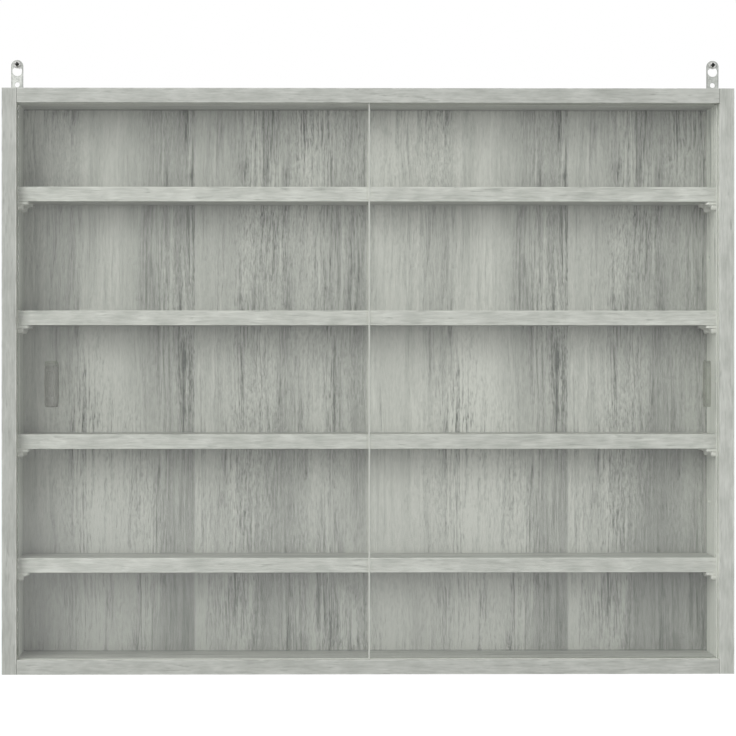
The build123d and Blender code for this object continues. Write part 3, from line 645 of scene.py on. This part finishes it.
def finger_pull(name, node, body, material, lip_share, lip_rise, dish, fade):
    """A stick-on finger pull in the box of its CAD node.

    Its outline is a superellipse, abs(x/a)^9 + abs(z/b)^9 = 1, drawn in as rings towards the middle.
    Its front stands off the glass by plate + lip - dish: the plate is level, the lip rises in a smooth step
    over its share of the width at the right, and the dish is a parabola across the rest.
    The whole height is eased to a thin edge over the fade length at the top and rounded off at the outline.
    """
    low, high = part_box(node)
    half_x, half_z = (high.x - low.x) / 2, (high.z - low.z) / 2
    depth = high.y - low.y
    turns, rings = PULL_TURNS, PULL_RINGS
    angle = np.linspace(0, 2 * np.pi, turns, endpoint=False)
    cos, sin = np.cos(angle), np.sin(angle)
    outline = np.stack([
        half_x * np.sign(cos) * np.abs(cos) ** (2 / CORNER_POWER),
        half_z * np.sign(sin) * np.abs(sin) ** (2 / CORNER_POWER),
    ])
    share = np.sin(np.linspace(0, 1, rings + 1)[1:] * np.pi / 2)
    x = share[:, None] * outline[0]
    z = share[:, None] * outline[1]
    across = (x + half_x) / (2 * half_x)
    step = np.clip((across - (1 - lip_share)) / LIP_SLOPE + 0.5, 0, 1)
    lip = lip_rise * step * step * (3 - 2 * step)
    plate = 1 - lip_rise
    parabola = 1 - (across / (1 - lip_share) * 2 - 1) ** 2
    hollow = dish * np.clip(parabola, 0, 1) * (1 - step)
    top = np.clip((half_z - z) / fade, 0, 1)
    ease = THIN_EDGE + (1 - THIN_EDGE) * top * top * (3 - 2 * top)
    rounding = np.clip((share[:, None] - RIM_FROM) / (1 - RIM_FROM), 0, 1)
    rim = np.sqrt(1 - rounding**2 * RIM_DROP)
    stand = depth * np.clip(plate + lip - hollow, LEAST_PLATE, 1) * ease * rim
    middle_x, middle_z = (low.x + high.x) / 2, (low.z + high.z) / 2
    front = np.stack([x + middle_x, high.y - stand, z + middle_z], axis=2).reshape(-1, 3)
    back = np.stack([outline[0] + middle_x, np.full(turns, high.y), outline[1] + middle_z], axis=1)
    front_middle = [[middle_x, high.y - depth * (plate - dish * 0.6), middle_z]]
    back_middle = [[middle_x, high.y, middle_z]]
    points = np.concatenate([front, back, front_middle, back_middle])
    here = np.arange(turns)
    after = (here + 1) % turns
    inner = np.arange(rings)[:, None] * turns
    outer = inner + turns
    quads = np.stack([inner + here, outer + here, outer + after, inner + after], axis=2)
    quads = quads.reshape(-1, 4).tolist()
    middle_front, middle_back, last = len(points) - 2, len(points) - 1, rings * turns
    front_fan = np.stack([np.full(turns, middle_front), here, after], axis=1).tolist()
    back_fan = np.stack([np.full(turns, middle_back), last + after, last + here], axis=1).tolist()
    mesh = bpy.data.meshes.new(name)
    mesh.from_pydata(points.tolist(), [], quads + front_fan + back_fan)
    mesh.polygons.foreach_set("use_smooth", [True] * len(mesh.polygons))
    mesh.update()
    piece = bpy.data.objects.new(name, mesh)
    bpy.context.scene.collection.objects.link(piece)
    mesh.materials.append(material)
    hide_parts(node)
    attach(piece, body)
    return piece


# The pulls are the same plastic; the left one's darker tone and denser smoke are painted shade, as it sits in
# the shade of the left wall
left_tones = linear(142, 143, 138), linear(124, 125, 120)
left_smoke = smoked_plastic("left_smoke", "left_door_pull", 0.42, 0.009, *left_tones)
left_shape = {"lip_share": 0.30, "lip_rise": 0.55, "dish": 0.22, "fade": 0.007}
finger_pull("left_finger_pull", "left_door_pull", "left_door", left_smoke, **left_shape)
right_tones = linear(156, 158, 151), linear(132, 134, 127)
right_smoke = smoked_plastic("right_smoke", "right_door_pull", 0.15, 0.001, *right_tones)
right_shape = {"lip_share": 0.34, "lip_rise": 0.40, "dish": 0.15, "fade": 0.003}
finger_pull("right_finger_pull", "right_door_pull", "right_door", right_smoke, **right_shape)


def soft_box(name, place, aim, size, power):
    """A square studio light that faces a point."""
    lamp = bpy.data.lights.new(name, "AREA")
    lamp.shape, lamp.size, lamp.energy = "SQUARE", size, power
    light = bpy.data.objects.new(name, lamp)
    bpy.context.scene.collection.objects.link(light)
    light.location = place
    way = np.array(aim, float) - np.array(place, float)
    flat = math.hypot(way[0], way[1])
    light.rotation_euler = (math.atan2(flat, -way[2]), 0, math.atan2(way[1], way[0]) - math.pi / 2)
    return light


soft_box("key_light", place=(-4.6, -7.6, 2.6), aim=CENTRE, size=5.4, power=555)
soft_box("low_light", place=(2.6, -2.2, -0.9), aim=CENTRE, size=0.7, power=8)

AMBIENT = 0.65
FLOOR_SHADE = 0.5
GROUND_Z = -1.05
GROUND_REACH = 14.0


def pale_floor():
    """A plain pale floor below the cabinet.

    It glows for the rays that see it, so that it looks as white as the world and still keeps a shadow.
    """
    corners = ((-1, -1), (1, -1), (1, 1), (-1, 1))
    mesh = bpy.data.meshes.new("floor")
    mesh.from_pydata([(GROUND_REACH * x, GROUND_REACH * y, GROUND_Z) for x, y in corners], [], [(0, 1, 2, 3)])
    floor = bpy.data.objects.new("floor", mesh)
    bpy.context.scene.collection.objects.link(floor)
    made = Nodes("floor_white")
    matte = made.add("ShaderNodeBsdfDiffuse", {0: (FLOOR_SHADE, FLOOR_SHADE, FLOOR_SHADE, 1)}).outputs[0]
    path = made.add("ShaderNodeLightPath").outputs
    seen = made.math("MAXIMUM", path["Is Camera Ray"], path["Is Glossy Ray"])
    seen = made.math("MAXIMUM", seen, path["Is Transmission Ray"])
    strength = made.math("MULTIPLY", seen, 1 - FLOOR_SHADE * AMBIENT)
    glow = made.add("ShaderNodeEmission", {0: (1, 1, 1, 1), 1: strength}).outputs[0]
    both = made.add("ShaderNodeAddShader", {0: matte, 1: glow}).outputs[0]
    mesh.materials.append(made.finish(both))


def studio_world():
    """A world that is white for the rays that see it and lights everything else softly."""
    world = bpy.data.worlds.new("studio")
    bpy.context.scene.world = world
    world.use_nodes = True
    tree = world.node_tree
    path = tree.nodes.new("ShaderNodeLightPath").outputs
    seen = path["Is Camera Ray"]
    for kind in ("Is Glossy Ray", "Is Transmission Ray"):
        either = tree.nodes.new("ShaderNodeMath")
        either.operation = "MAXIMUM"
        tree.links.new(seen, either.inputs[0])
        tree.links.new(path[kind], either.inputs[1])
        seen = either.outputs[0]
    strength = tree.nodes.new("ShaderNodeMapRange")
    strength.inputs["To Min"].default_value = AMBIENT
    tree.links.new(seen, strength.inputs["Value"])
    background = tree.nodes["Background"]
    background.inputs["Color"].default_value = (1, 1, 1, 1)
    tree.links.new(strength.outputs[0], background.inputs["Strength"])


# The camera's place is worked out from the outline of the front face and the width of the inner walls
IMAGE_WIDTHS_TO_FRONT = 3.17053
CAMERA_PLACE = (-0.110, FRONT_Y - 2.5456, -0.3038)
CAMERA_TURN = 0.010
CAMERA_SHIFT = (0.1045, -0.0182)
SENSOR_WIDTH = 36


def front_camera():
    """The camera, level and almost straight in front of the cabinet, and shifted as the photo is framed."""
    lens_camera = bpy.data.cameras.new("camera")
    camera = bpy.data.objects.new("camera", lens_camera)
    bpy.context.scene.collection.objects.link(camera)
    bpy.context.scene.camera = camera
    camera.location = CAMERA_PLACE
    camera.rotation_euler = (math.pi / 2, 0, -CAMERA_TURN)
    lens_camera.sensor_width = SENSOR_WIDTH
    lens_camera.lens = SENSOR_WIDTH * IMAGE_WIDTHS_TO_FRONT
    lens_camera.shift_x, lens_camera.shift_y = CAMERA_SHIFT
    lens_camera.clip_start, lens_camera.clip_end = 0.05, 60


pale_floor()
studio_world()
front_camera()
bpy.context.scene.view_settings.view_transform = "Standard"
